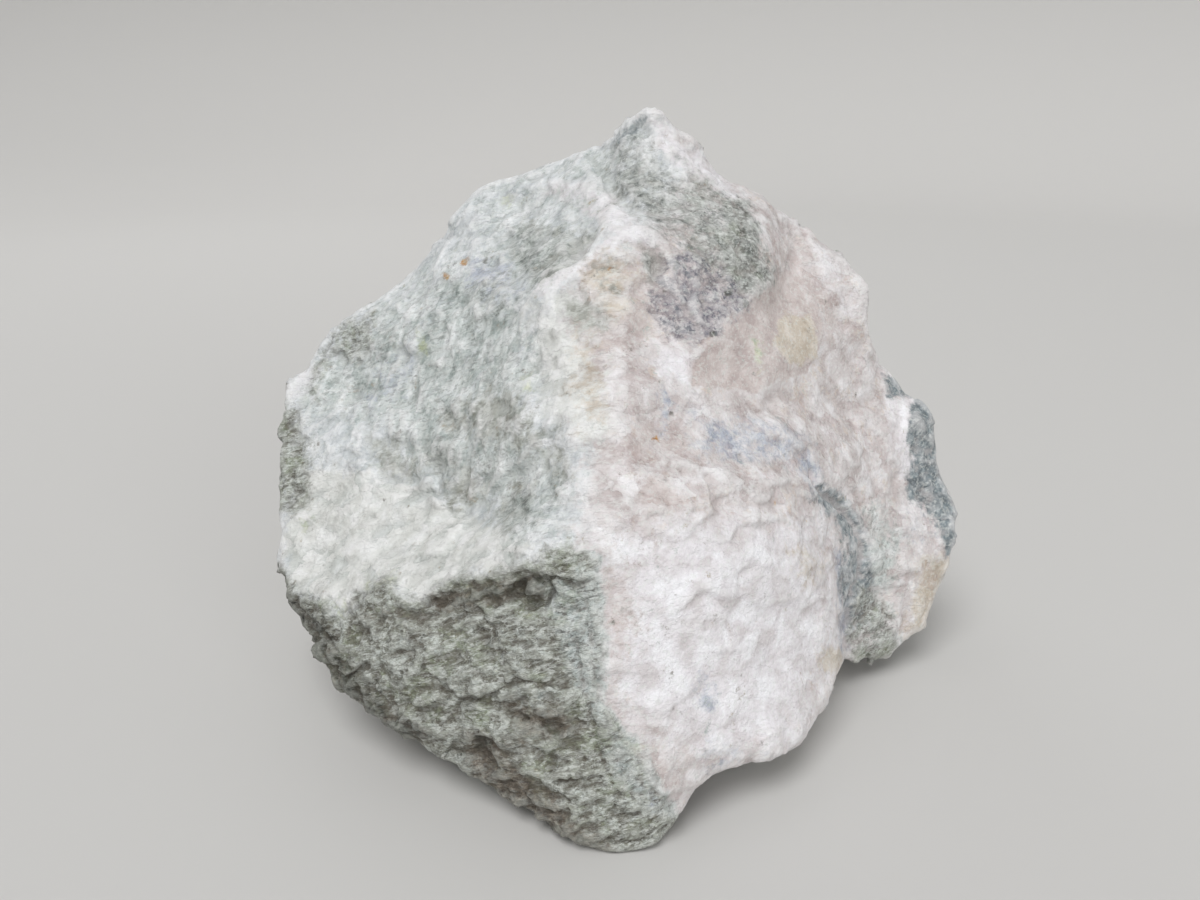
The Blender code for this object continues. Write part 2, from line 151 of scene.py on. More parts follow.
# ---- zones of the front, as outlines in pixels ----
# mineral: [(outline, softness of its edge in pixels, strength), ...]
ZONES = {
    "rind": [
        ([(262, 560), (285, 572), (300, 592), (318, 606), (340, 620), (352, 612), (360, 592), (380, 580),
          (398, 592), (412, 600), (427, 600), (440, 589), (455, 579), (485, 580), (500, 570), (520, 566),
          (543, 562), (548, 550), (566, 544), (578, 556), (580, 600), (578, 650), (586, 690), (598, 716),
          (606, 745), (622, 768), (632, 792), (655, 820), (700, 812), (700, 880), (540, 880),
          (240, 640)], 11, 1.05),
        ([(560, 546), (588, 549), (599, 562), (602, 600), (607, 650), (601, 690), (610, 706), (624, 730),
          (639, 752), (655, 780), (672, 806), (680, 840), (640, 830), (610, 780), (590, 740), (575, 690),
          (566, 640), (568, 590)], 7, 0.62),
        ([(255, 395), (294, 398), (304, 412), (306, 432), (311, 452), (315, 480), (310, 503), (296, 513),
          (255, 515)], 11, 0.74),
        ([(316, 346), (345, 320), (372, 312), (382, 330), (370, 350), (372, 362), (346, 366), (330, 362),
          (322, 384), (326, 402), (314, 405), (308, 380)], 7, 0.55),
        ([(852, 585), (872, 582), (884, 600), (900, 622), (895, 645), (880, 672), (850, 672), (846, 640)],
         6, 0.6),
    ],
    "patch": [
        ([(612, 146), (640, 148), (666, 168), (700, 176), (728, 186), (752, 203), (760, 225), (764, 252),
          (775, 268), (772, 284), (757, 294), (740, 308), (722, 318), (690, 290), (668, 262), (680, 240),
          (660, 236), (640, 220), (615, 208), (606, 180)], 18, 0.72),
        ([(718, 196), (750, 203), (760, 225), (764, 252), (776, 268), (772, 284), (757, 294), (736, 306),
          (722, 284), (716, 240)], 9, 0.95),
        ([(640, 252), (664, 252), (660, 272), (650, 292), (640, 286)], 5, 0.7),
    ],
    # Shade is partly the stone's grey-green and partly painted shade: the recess above the crest and the
    # hollows left of the centre.
    "shade": [
        ([(520, 222), (545, 228), (574, 236), (600, 230), (586, 248), (560, 266), (540, 284), (526, 290),
          (512, 270), (500, 244)], 12, 0.75),
        ([(476, 262), (500, 270), (520, 292), (512, 312), (480, 330), (462, 300)], 18, 0.58),
        ([(617, 140), (640, 116), (652, 136), (648, 168), (626, 170), (612, 160)], 12, 0.50),
        ([(664, 130), (690, 152), (706, 178), (690, 180), (660, 160)], 8, 0.35),
        ([(380, 318), (408, 296), (400, 330), (372, 372), (348, 392), (352, 360)], 12, 0.50),
        ([(446, 400), (460, 402), (460, 432), (450, 436)], 8, 0.7),
        ([(414, 446), (440, 438), (455, 446), (452, 470), (430, 474)], 12, 0.7),
        ([(496, 490), (536, 482), (540, 520), (516, 542), (494, 530)], 14, 0.6),
    ],
    # Dark is painted shade here: under the rind's ledges, round its pits, along its left margin and at its
    # foot.
    "dark": [
        ([(440, 598), (470, 590), (505, 584), (530, 573), (547, 577), (546, 598), (528, 604), (500, 604),
          (470, 610), (445, 608)], 6, 0.55),
        ([(316, 640), (332, 634), (350, 648), (346, 660), (326, 656)], 8, 0.45),
        ([(516, 726), (548, 722), (566, 732), (556, 740), (520, 736)], 6, 0.5),
        ([(255, 560), (290, 580), (312, 606), (345, 640), (370, 682), (432, 734), (400, 760), (300, 710),
          (250, 620)], 11, 0.68),
        ([(530, 800), (560, 812), (600, 850), (560, 870), (520, 830)], 10, 0.35),
    ],
    # Umber is the rind's brown; on the left margin and under the ledges it is laid thick and dark, and there
    # it is also painted shade.
    "umber": [
        ([(255, 560), (284, 580), (304, 612), (340, 650), (362, 690), (430, 738), (400, 760), (300, 700),
          (250, 620)], 10, 1.25),
        ([(430, 596), (470, 588), (505, 582), (545, 574), (548, 600), (500, 606), (440, 612)], 8, 0.95),
        ([(350, 600), (400, 612), (440, 616), (420, 626), (370, 620)], 10, 0.7),
        ([(470, 735), (500, 742), (556, 800), (610, 850), (560, 880), (470, 790)], 14, 1.05),
        ([(500, 700), (560, 708), (580, 726), (560, 744), (516, 742)], 10, 0.9),
    ],
    "frost": [
        ([(548, 585), (578, 572), (598, 600), (600, 690), (590, 716), (574, 690), (562, 640), (550, 610)],
         12, 0.85),
        ([(574, 690), (604, 696), (622, 730), (645, 760), (660, 800), (630, 800), (600, 750)], 12, 0.6),
        ([(380, 640), (440, 628), (540, 612), (560, 640), (500, 660), (400, 668)], 22, 0.35),
        ([(500, 690), (560, 680), (570, 700), (520, 708)], 10, 0.4),
    ],
    "lilac": [
        ([(655, 262), (690, 255), (730, 275), (748, 300), (735, 318), (716, 334), (695, 342), (668, 334),
          (648, 312), (650, 290)], 9, 1.0),
    ],
    "cool": [
        ([(250, 300), (440, 150), (640, 90), (700, 160), (640, 235), (590, 262), (560, 300), (575, 360),
          (590, 440), (580, 560), (560, 640), (250, 640)], 30, 1.0),
    ],
    "green": [
        ([(556, 560), (600, 548), (608, 600), (608, 700), (644, 750), (676, 806), (680, 840), (640, 830),
          (600, 780), (572, 690), (562, 640)], 6, 1.0),
        ([(318, 350), (345, 325), (385, 295), (440, 262), (520, 240), (560, 258), (545, 285), (520, 300),
          (540, 330), (545, 380), (530, 420), (560, 450), (572, 500), (560, 545), (520, 550), (500, 520),
          (470, 505), (440, 500), (400, 480), (380, 440), (330, 420), (300, 440), (290, 400)], 25, 0.75),
        ([(598, 145), (628, 150), (625, 195), (600, 200), (560, 180), (520, 190), (480, 215), (470, 195),
          (520, 172), (570, 155)], 14, 0.6),
        ([(440, 262), (470, 195), (520, 180), (590, 190), (610, 222), (560, 262), (520, 250)], 18, 0.50),
        ([(855, 505), (880, 500), (905, 540), (890, 600), (905, 640), (870, 660), (850, 600), (862, 560)],
         10, 0.7),
    ],
    "cream": [
        ([(305, 470), (370, 478), (425, 492), (460, 515), (500, 530), (530, 548), (510, 566), (455, 578),
          (425, 598), (398, 590), (380, 578), (355, 600), (330, 612), (295, 585), (282, 540), (300, 505)],
         12, 1.25),
        ([(526, 306), (556, 296), (572, 330), (610, 372), (606, 430), (580, 440), (548, 420), (530, 360)],
         14, 0.9),
    ],
    "smoke": [
        ([(462, 398), (496, 392), (528, 402), (532, 424), (505, 438), (480, 442), (462, 430)], 18, 0.95),
        ([(444, 480), (460, 466), (484, 464), (484, 492), (462, 508), (444, 504)], 12, 0.8),
        ([(440, 405), (458, 400), (462, 425), (450, 434), (440, 420)], 12, 0.8),
        ([(418, 448), (445, 440), (452, 462), (430, 478), (416, 465)], 12, 0.8),
        ([(370, 435), (400, 440), (420, 470), (412, 484), (385, 478), (368, 455)], 14, 0.75),
        ([(440, 490), (460, 485), (470, 500), (455, 510), (442, 505)], 10, 0.7),
        ([(490, 500), (520, 495), (530, 525), (505, 545), (488, 525)], 16, 0.7),
        ([(512, 430), (560, 425), (575, 470), (560, 480), (530, 455), (508, 452)], 16, 0.7),
        ([(554, 292), (585, 290), (612, 318), (600, 332), (575, 330), (556, 312)], 8, 0.8),
        ([(516, 475), (536, 478), (540, 500), (524, 505), (514, 490)], 8, 0.7),
        # This strip is painted shadow along the upper-left side of the crest.
        ([(548, 250), (585, 232), (596, 240), (575, 258), (545, 285), (530, 280)], 6, 0.9),
        ([(588, 262), (612, 252), (634, 262), (630, 300), (600, 304)], 10, 0.55),
        ([(520, 215), (560, 225), (585, 228), (570, 245), (540, 250), (515, 235)], 10, 0.6),
    ],
    "blue": [
        ([(352, 398), (400, 345), (425, 305), (438, 300), (425, 350), (405, 395), (360, 415)], 12, 0.5),
        ([(700, 425), (740, 420), (790, 428), (812, 445), (806, 470), (770, 455), (730, 462), (700, 450)],
         20, 0.8),
        ([(672, 396), (700, 410), (740, 420), (730, 440), (690, 430)], 16, 0.6),
        ([(800, 450), (822, 474), (842, 500), (852, 530), (834, 520), (812, 486), (796, 468)], 10, 0.9),
        ([(655, 392), (672, 386), (676, 410), (668, 440), (658, 450), (656, 420)], 7, 0.6),
        ([(560, 650), (578, 648), (590, 740), (612, 770), (596, 775), (568, 730)], 8, 0.7),
        ([(692, 668), (712, 672), (722, 712), (704, 716), (694, 696)], 10, 0.5),
        ([(470, 258), (515, 262), (520, 290), (490, 305), (465, 285)], 10, 0.8),
        ([(832, 552), (846, 556), (850, 600), (852, 650), (838, 650), (834, 600)], 8, 0.8),
        ([(900, 488), (945, 520), (940, 552), (905, 560), (890, 520)], 12, 0.35),
        ([(635, 780), (650, 775), (672, 812), (660, 826), (640, 810)], 8, 0.6),
        ([(696, 738), (795, 742), (775, 774), (700, 776)], 10, 0.35),
    ],
    "teal": [
        ([(886, 376), (905, 383), (933, 398), (930, 408), (905, 400), (888, 396)], 5, 1.1),
        ([(914, 402), (940, 406), (952, 448), (954, 480), (930, 486), (910, 476), (914, 440)], 5, 1.2),
        ([(908, 474), (945, 480), (975, 520), (970, 552), (946, 552), (934, 520), (908, 496)], 6, 1.15),
        ([(812, 472), (826, 474), (846, 498), (862, 520), (872, 545), (876, 580), (874, 630), (852, 640),
          (838, 600), (842, 545), (828, 518), (814, 500)], 8, 0.80),
        ([(612, 142), (640, 110), (654, 122), (618, 150)], 5, 0.6),
    ],
    "beige": [
        ([(784, 308), (807, 313), (818, 340), (825, 362), (784, 364), (771, 340)], 3, 0.8),
        ([(925, 555), (960, 550), (950, 600), (925, 640), (900, 650), (912, 600)], 8, 0.9),
        ([(820, 645), (842, 650), (845, 672), (830, 676), (818, 662)], 5, 0.8),
        ([(586, 262), (606, 250), (638, 252), (642, 285), (628, 320), (600, 330), (586, 300)], 14, 0.68),
        ([(575, 400), (600, 395), (602, 420), (580, 425)], 7, 0.6),
        ([(785, 548), (822, 540), (832, 580), (800, 595)], 12, 0.5),
        ([(480, 535), (500, 420), (512, 412), (505, 400)], 8, 0.3),
        ([(560, 300), (600, 330), (616, 380), (604, 440), (576, 430), (562, 380)], 14, 0.55),
    ],
    "olive": [
        ([(416, 330), (432, 328), (436, 352), (424, 362), (414, 350)], 9, 0.7),
        ([(518, 375), (532, 372), (534, 392), (522, 396)], 5, 0.7),
        ([(300, 515), (312, 518), (308, 535), (298, 530)], 5, 0.6),
        ([(595, 700), (615, 712), (625, 735), (645, 752), (640, 765), (612, 745), (595, 720)], 8, 0.6),
        ([(362, 580), (395, 578), (392, 600), (366, 600)], 8, 0.6),
        ([(500, 195), (515, 195), (512, 205), (500, 206)], 4, 0.6),
        ([(749, 338), (759, 342), (767, 370), (757, 374)], 5, 0.45),
        ([(322, 606), (352, 600), (350, 625), (330, 630)], 8, 0.5),
    ],
    "pink": [
        ([(640, 480), (668, 478), (690, 500), (672, 515), (640, 510)], 10, 0.8),
        ([(600, 425), (650, 410), (720, 430), (705, 470), (650, 465), (605, 460)], 16, 0.6),
        ([(765, 225), (800, 240), (850, 290), (862, 350), (830, 345), (790, 300), (762, 260)], 16, 0.6),
        ([(590, 262), (650, 262), (655, 340), (600, 350), (580, 310)], 16, 0.85),
        ([(692, 386), (707, 352), (720, 330), (744, 305), (774, 272), (798, 276), (814, 310), (828, 345),
          (806, 372), (750, 390)], 3, 1.1),
        ([(716, 752), (752, 758), (790, 760), (760, 772), (716, 770)], 6, 0.6),
        ([(602, 560), (640, 570), (640, 660), (610, 690)], 18, 0.6),
        ([(620, 740), (700, 745), (690, 800), (660, 795)], 14, 0.5),
    ],
    "clean": [
        ([(660, 348), (700, 352), (690, 386), (668, 384), (650, 366)], 6, 0.8),
        ([(600, 540), (700, 520), (820, 520), (832, 640), (800, 740), (700, 760), (650, 740), (612, 690)],
         30, 1.0),
        ([(820, 240), (850, 262), (866, 310), (845, 335), (818, 300), (806, 262)], 12, 0.5),
        # Partly white stone and partly painted highlight: this strip along the tip's ridge.
        ([(652, 124), (672, 128), (704, 158), (740, 192), (740, 206), (700, 182), (668, 164)], 5, 1.0),
        # Partly white stone and partly painted highlight: the top block's white rim.
        ([(586, 184), (612, 200), (650, 226), (660, 244), (640, 248), (606, 232), (580, 205), (540, 195),
          (552, 184)], 7, 1.0),
        ([(888, 398), (918, 402), (918, 470), (896, 480), (884, 440)], 8, 0.8),
        ([(300, 368), (326, 362), (320, 400), (292, 402), (286, 392)], 6, 0.7),
        # Partly white stone and partly painted highlight: the white crest.
        ([(530, 285), (560, 270), (604, 242), (638, 232), (620, 250), (575, 275), (545, 296)], 5, 0.9),
    ],
}
# Small round marks: mineral, centre, radius in pixels, strength.
# The dark spots on pits and under the rind's big ledge are painted shade; the others are dark grains.
SPOTS = [
    ("rust", (463, 262), 5, 0.8), ("rust", (468, 259), 4, 0.6), ("rust", (447, 277), 4, 0.7),
    ("rust", (654, 442), 2.5, 0.8), ("rust", (776, 501), 2.5, 0.9), ("rust", (807, 521), 2.5, 0.8),
    ("rust", (613, 268), 4, 0.5), ("rust", (610, 292), 3, 0.6), ("rust", (360, 425), 5, 0.3),
    ("dark", (672, 418), 2.5, 1.0), ("dark", (740, 456), 3, 0.7), ("dark", (486, 262), 3.5, 0.6),
    ("dark", (674, 266), 4, 0.8), ("dark", (662, 291), 3.5, 0.8), ("dark", (703, 297), 3.5, 0.8),
    ("dark", (728, 293), 5, 0.8), ("dark", (742, 303), 4, 0.9), ("dark", (713, 331), 4.5, 0.7),
    ("dark", (748, 214), 4, 0.6), ("dark", (739, 230), 4, 0.5), ("dark", (745, 250), 5, 0.6),
    ("dark", (644, 252), 4, 0.5), ("dark", (652, 262), 4, 0.5), ("dark", (284, 426), 6, 0.8),
    ("dark", (300, 488), 5, 0.6), ("dark", (540, 583), 9, 0.9), ("dark", (484, 748), 9, 0.6),
    ("dark", (551, 727), 8, 0.7), ("dark", (332, 640), 9, 0.7), ("dark", (284, 582), 7, 0.7),
    ("dark", (872, 658), 6, 0.8), ("dark", (840, 502), 5, 0.6), ("dark", (826, 484), 4, 0.6),
]
# How much wider the zones' edges are than their own softness.
EDGE_BLUR = 1.6

# ---- forms of the front that are drawn one by one, in pixels ----
# Ledges: height and width in mm, and a line drawn so that the ground drops on its right-hand side.
LEDGES = [
    (2.6, 2.6, [(437, 594), (455, 584), (482, 585), (502, 576), (522, 570), (545, 574)]),
    (1.4, 1.8, [(378, 618), (400, 606), (420, 612), (445, 611), (472, 603)]),
    (1.6, 2.0, [(470, 612), (500, 602), (524, 596), (540, 584)]),
    (0.8, 1.5, [(478, 630), (502, 619), (524, 610), (536, 598)]),
    (1.0, 2.0, [(305, 612), (322, 632), (348, 652)]),
    (0.6, 1.3, [(438, 677), (462, 671), (486, 677), (510, 670)]),
    (0.8, 1.6, [(352, 664), (366, 674), (378, 692)]),
    (0.8, 1.6, [(380, 655), (393, 668), (393, 696)]),
    (1.1, 1.8, [(500, 716), (524, 711), (548, 716), (568, 718)]),
    (0.8, 1.5, [(538, 750), (556, 760), (568, 748), (590, 748)]),
    (0.8, 1.6, [(518, 792), (540, 784), (566, 797), (590, 800)]),
    (0.6, 1.4, [(400, 702), (425, 708), (450, 702), (470, 706)]),
    (0.7, 1.4, [(500, 782), (524, 774), (545, 786)]),
    (0.7, 1.6, [(440, 738), (465, 745), (490, 758)]),
    (0.6, 1.3, [(560, 680), (590, 684), (604, 676)]),
    (0.6, 1.4, [(448, 652), (490, 648), (530, 655)]),
    (0.5, 1.4, [(600, 815), (625, 808), (655, 818)]),
    (0.6, 1.8, [(700, 392), (722, 402), (742, 418), (758, 430)]),
    (0.3, 1.6, [(636, 484), (662, 492), (690, 506), (722, 512)]),
    (0.35, 1.8, [(682, 532), (702, 546), (732, 552), (766, 560)]),
    (0.4, 1.4, [(690, 446), (722, 455), (746, 470)]),
    (0.3, 1.4, [(650, 560), (690, 578), (720, 598)]),
    (0.3, 1.4, [(722, 585), (762, 576), (800, 588), (826, 592)]),
    (0.3, 1.4, [(606, 655), (640, 660), (676, 652)]),
    (0.4, 1.5, [(752, 690), (775, 684), (800, 690)]),
    (0.4, 1.3, [(672, 728), (710, 722), (740, 735)]),
    (1.2, 2.0, [(712, 750), (745, 752), (790, 752)]),
    (0.7, 1.5, [(655, 800), (676, 788), (694, 784)]),
    (0.8, 1.6, [(604, 440), (640, 446), (662, 440)]),
    (0.5, 1.3, [(612, 385), (640, 400), (664, 396)]),
    (0.7, 1.6, [(770, 330), (800, 352), (820, 384), (846, 392)]),
    (0.9, 1.8, [(808, 240), (822, 275), (815, 310), (832, 345)]),
    (0.7, 1.5, [(694, 222), (722, 232), (748, 252)]),
    (3.6, 2.0, [(640, 226), (614, 229), (594, 243), (572, 262), (544, 281), (530, 300)]),
    (1.8, 2.2, [(668, 243), (648, 226), (634, 215), (610, 204), (600, 186)]),
    (1.0, 3.0, [(690, 388), (704, 352), (722, 326), (742, 310), (762, 292), (776, 272), (766, 246)]),
    (1.2, 1.6, [(549, 322), (550, 300), (560, 289), (582, 291)]),
    (1.2, 1.6, [(585, 292), (592, 312), (612, 330)]),
    (1.4, 1.6, [(800, 366), (824, 360), (826, 330), (816, 306)]),
    (1.4, 2.0, [(446, 508), (470, 505), (486, 492), (508, 468), (536, 452), (566, 446)]),
    (1.6, 2.2, [(436, 500), (420, 488), (396, 484), (370, 470), (362, 440)]),
    (0.6, 1.4, [(500, 226), (516, 238), (540, 236), (560, 224)]),
    (0.8, 2.4, [(425, 305), (404, 350), (372, 400), (345, 412)]),
    (0.8, 2.2, [(330, 400), (352, 420), (372, 436), (392, 440)]),
    (0.6, 1.4, [(500, 470), (540, 462), (572, 476)]),
    (0.6, 1.3, [(300, 520), (340, 530), (400, 524), (450, 534)]),
    (0.5, 1.3, [(320, 560), (372, 552), (430, 560), (490, 548)]),
    (0.9, 1.6, [(920, 402), (918, 440), (914, 478), (940, 504), (954, 535)]),
    (0.6, 1.4, [(866, 500), (890, 520), (900, 555), (890, 590)]),
]
LEDGE_STRENGTH = 0.6
# Share of a ledge's strength outside the rind and the cool stone.
LEDGE_IN_WHITE = 0.42
# Cracks and grooves: depth and half width in mm, and the line.
CRACKS = [
    (1.4, 0.9, [(516, 590), (530, 582), (545, 585), (552, 596), (546, 606)]),
    (1.0, 0.8, [(488, 604), (508, 598), (520, 600)]),
    (1.4, 0.8, [(810, 472), (832, 498), (852, 524), (864, 550), (860, 578), (848, 604), (846, 645)]),
    (0.9, 0.5, [(744, 398), (754, 410), (766, 422)]),
    (0.6, 0.4, [(655, 125), (672, 138), (690, 152), (704, 172)]),
    (1.0, 1.2, [(641, 249), (654, 256), (656, 268), (648, 280), (636, 296)]),
    (0.6, 0.5, [(604, 560), (612, 590), (606, 620)]),
    (0.6, 0.5, [(576, 640), (584, 690), (592, 735)]),
    (0.5, 0.4, [(588, 600), (592, 650), (600, 696)]),
    (0.6, 0.4, [(735, 205), (742, 232), (740, 256)]),
    (0.6, 0.4, [(664, 180), (684, 192), (702, 196)]),
    (0.5, 0.4, [(600, 752), (620, 785), (612, 815)]),
    (0.6, 0.4, [(700, 292), (704, 300), (712, 303)]),
]
# Pits (+) and knobs (-): centre, radius in pixels, depth in mm.
PITS = [
    ((536, 594), 17, -1.7), ((484, 746), 16, 0.8), ((551, 728), 14, 0.8), ((333, 642), 14, 0.8),
    ((654, 266), 13, 0.8), ((428, 486), 12, -1.8), ((438, 502), 10, -1.0), ((384, 446), 18, 0.9),
    ((455, 424), 22, 1.0), ((412, 479), 10, 0.6), ((505, 412), 12, 0.8), ((575, 246), 14, 1.0),
    ((672, 418), 5, 0.8), ((742, 458), 6, 0.6), ((597, 340), 10, -0.7), ((340, 360), 10, 0.8),
    ((288, 424), 9, 1.0), ((300, 488), 9, 0.8), ((372, 686), 10, 0.9), ((700, 690), 12, 0.5),
    ((640, 500), 12, 0.6), ((466, 262), 6, 0.6),
]
# How far from their lines, in pixels, ledges and cracks are worked out.
LEDGE_REACH, CRACK_REACH = 60, 20
# Where the tip is pushed back, front and back alike: centre, radius in pixels, the way and distance in mm.
TRIMS = [((690, 112), 30, (-1.5, 0.0, -2.0)), ((672, 103), 16, (-0.4, 0.0, -1.2))]

# ---- the stone's minerals: dark, middle and light tone of each, as sRGB ----
# The white stone under all minerals.
WHITE_TONES = ((200, 191, 190), (220, 214, 214), (238, 235, 237))
# The minerals, in the order in which they lie over it: name, the field of noise that lays out its tones,
# which of the field's three channels, and the tones.
MINERALS = [
    ("cool", "slope", 2, ((196, 201, 204), (223, 227, 230), (245, 247, 249))),
    ("clean", "cloud", 0, ((220, 215, 217), (237, 234, 238), (250, 250, 254))),
    ("pink", "cloud", 1, ((192, 179, 177), (206, 195, 192), (220, 211, 209))),
    ("cream", "cloud", 2, ((214, 215, 211), (229, 230, 227), (241, 242, 241))),
    ("green", "slope", 0, ((164, 174, 171), (206, 213, 211), (238, 242, 242))),
    ("beige", "cloud", 2, ((192, 180, 164), (210, 200, 186), (226, 218, 208))),
    ("blue", "slope", 1, ((156, 164, 181), (188, 194, 206), (214, 217, 225))),
    ("smoke", "cloud", 0, ((140, 141, 132), (174, 176, 169), (208, 210, 205))),
    # shade: partly grey-green stone, partly painted shade in recesses and hollows.
    ("shade", "scratch", 2, ((122, 128, 124), (166, 172, 168), (206, 211, 208))),
    ("olive", "cloud", 0, ((160, 169, 132), (194, 202, 166), (214, 220, 192))),
    ("patch", "scratch", 1, ((116, 121, 118), (160, 164, 160), (198, 202, 199))),
    ("lilac", "fine", 2, ((124, 122, 132), (164, 159, 164), (202, 194, 195))),
    ("teal", "fine", 0, ((101, 112, 117), (127, 138, 143), (161, 171, 175))),
    ("rind", "crumb", 0, ((108, 106, 97), (158, 161, 152), (208, 214, 209))),
    ("umber", "crumb", 2, ((70, 62, 54), (110, 101, 90), (152, 144, 133))),
    ("frost", "streak", 0, ((150, 160, 158), (186, 195, 194), (218, 224, 224))),
    ("rust", "fine", 1, ((158, 106, 50), (190, 138, 72), (208, 170, 116))),
    # dark: partly dark grains, partly painted shade.
    ("dark", "fine", 2, ((52, 54, 48), (78, 80, 72), (110, 112, 102))),
]
# Tones of the marks and washes over the minerals, as sRGB.
TINTS = {
    "grey thread": (168, 164, 166),
    "warm stain": (224, 204, 184),
    # Painted shade and painted highlight of the white stone's chips.
    "chip shade": (227, 217, 216),
    "cool chip shade": (215, 220, 219),
    "chip highlight": (245, 244, 246),
    "brown wash": (158, 146, 126),
    "moss": (158, 170, 140),
    "light strand": (216, 222, 220),
    "dark strand": (88, 83, 76),
    "dark fleck": (82, 77, 74),
    "pale fleck": (226, 230, 226),
    "lilac speck": (86, 92, 104),
    # Dirt and painted shade for the crevices, wear and painted highlight for the crests.
    "dirt_and_shade": (204, 195, 193),
    "cool dirt": (193, 196, 193),
    "rind dirt": (100, 94, 84),
    "worn_and_lit": (243, 242, 242),
    "worn rind": (200, 203, 196),
}
# Fields of noise: size of the patches in mm, detail, roughness, distortion, and along which direction and
# how many times they are drawn out.
FIELDS = {
    "soft": (7.0, 5, 0.62, 0.10, None),
    "cloud": (5.0, 3, 0.50, 0.50, None),
    "fine": (2.2, 4, 0.72, 0.00, None),
    "streak": (1.8, 4, 0.72, 0.15, (DOWN_SLOPE, 4.0)),
    "fibre": (1.1, 3, 0.74, 0.45, (ALONG_FIBRES, 3.0)),
    "scratch": (2.6, 4, 0.72, 0.50, (DOWN_RIGHT, 1.7)),
    "strand": (2.2, 3, 0.60, 0.35, (ALONG_RIND, 4.0)),
    "fleck": (0.80, 2, 0.70, 0.20, (ALONG_FIBRES, 3.0)),
}
# Fields that are mixed from two others, each with its share.
MIXED_FIELDS = {
    "slope": (("soft", 0.6), ("streak", 0.4)),
    "crumb": (("fine", 0.4), ("fibre", 0.6)),
}
# How far each field's noise strays from the middle, so that all three tones of a mineral show.
SPREAD = {"cloud": 0.15, "fine": 0.13, "streak": 0.13, "slope": 0.10, "crumb": 0.09, "scratch": 0.12}
# Grey threads through the white: how far apart in mm, and how crooked in metres.
THREAD_SPACING = 13.0
THREAD_SWAY = 0.012
# Chips: sizes in mm, and how crooked their edges are in metres.
CHIP_SIZES = (5.0, 2.6)
CHIP_SWAY = 0.0028
# Height of the bumps in mm.
CHIP_BUMP, GRAIN_BUMP, FLECK_BUMP = 0.50, 0.70, 0.25
# Size of the glossy grains in mm.
GRAIN_SIZE = 0.9
JADE_SPECULAR = 0.4


# ---- places ----
def smoothstep(low, high, value):
    """0 below low, 1 above high, and an even rise between them, on numbers or arrays."""
    t = np.clip((value - low) / (high - low), 0, 1)
    return t * t * (3 - 2 * t)


def noise_at(points, size_mm, offset=0.0):
    """Smooth noise, about -1 to 1, at points in millimetres; size_mm is the size of its patches."""
    shift = Vector((offset, 2 * offset, -offset))
    return np.array([noise.noise(Vector(p) / size_mm + shift) for p in points])


def to_pixels(points):
    """Pixels of points in millimetres, as the camera sees them, and their distance in depth."""
    x, y, z = (points - np.array(CAMERA_AT) / MM).T
    depth = y * math.cos(CAMERA_DIP) - z * math.sin(CAMERA_DIP)
    rise = y * math.sin(CAMERA_DIP) + z * math.cos(CAMERA_DIP)
    return np.column_stack((IMAGE_CENTRE[0] + FOCAL_PIXELS * x / depth,
                            IMAGE_CENTRE[1] - FOCAL_PIXELS * rise / depth)), depth


def wavered(pixels, points, strength=1.0):
    """Pixels moved a little by noise, so that no drawn line stays straight on the stone."""
    coarse, fine = 8.0, 4.0
    shift = np.column_stack([
        coarse * noise_at(points, 9, seed) + fine * noise_at(points, 2.5, seed + 5)
        for seed in (11.3, 23.9)])
    return pixels + strength * shift


def segment_distances(pixels, a, b):
    """Distance from each pixel to the segment from a to b; 1 on its right-hand side, -1 on its left."""
    a, b = np.array(a, float), np.array(b, float)
    along = b - a
    t = np.clip((pixels - a) @ along / (along @ along), 0, 1)
    gap = pixels - a - t[:, None] * along
    side = along[0] * (pixels[:, 1] - a[1]) - along[1] * (pixels[:, 0] - a[0])
    return np.hypot(gap[:, 0], gap[:, 1]), np.sign(side)


def near_pixel(pixels, centre, start, end):
    """1 within start pixels of a centre, 0 from end pixels on."""
    return 1 - smoothstep(start, end, np.hypot(*(pixels - np.array(centre)).T))


def inside_outline(pixels, outline, softness):
    """1 well inside an outline, 0 well outside it, and a soft edge between."""
    u, v = pixels.T
    inside = np.zeros(len(pixels), bool)
    nearest = np.full(len(pixels), 1e9)
    for (ua, va), (ub, vb) in zip(outline, outline[1:] + outline[:1]):
        crosses = (va > v) != (vb > v)
        if va != vb:
            inside ^= crosses & (u < (ub - ua) * (v - va) / (vb - va) + ua)
        nearest = np.minimum(nearest, segment_distances(pixels, (ua, va), (ub, vb))[0])
    return smoothstep(-softness, softness, np.where(inside, nearest, -nearest))


def front_share(points, normals):
    """1 on the side that faces the camera, 0 on the hidden sides."""
    towards = np.array(CAMERA_AT) / MM - points
    towards /= np.linalg.norm(towards, axis=1)[:, None]
    return smoothstep(-0.35, -0.05, (towards * normals).sum(axis=1))


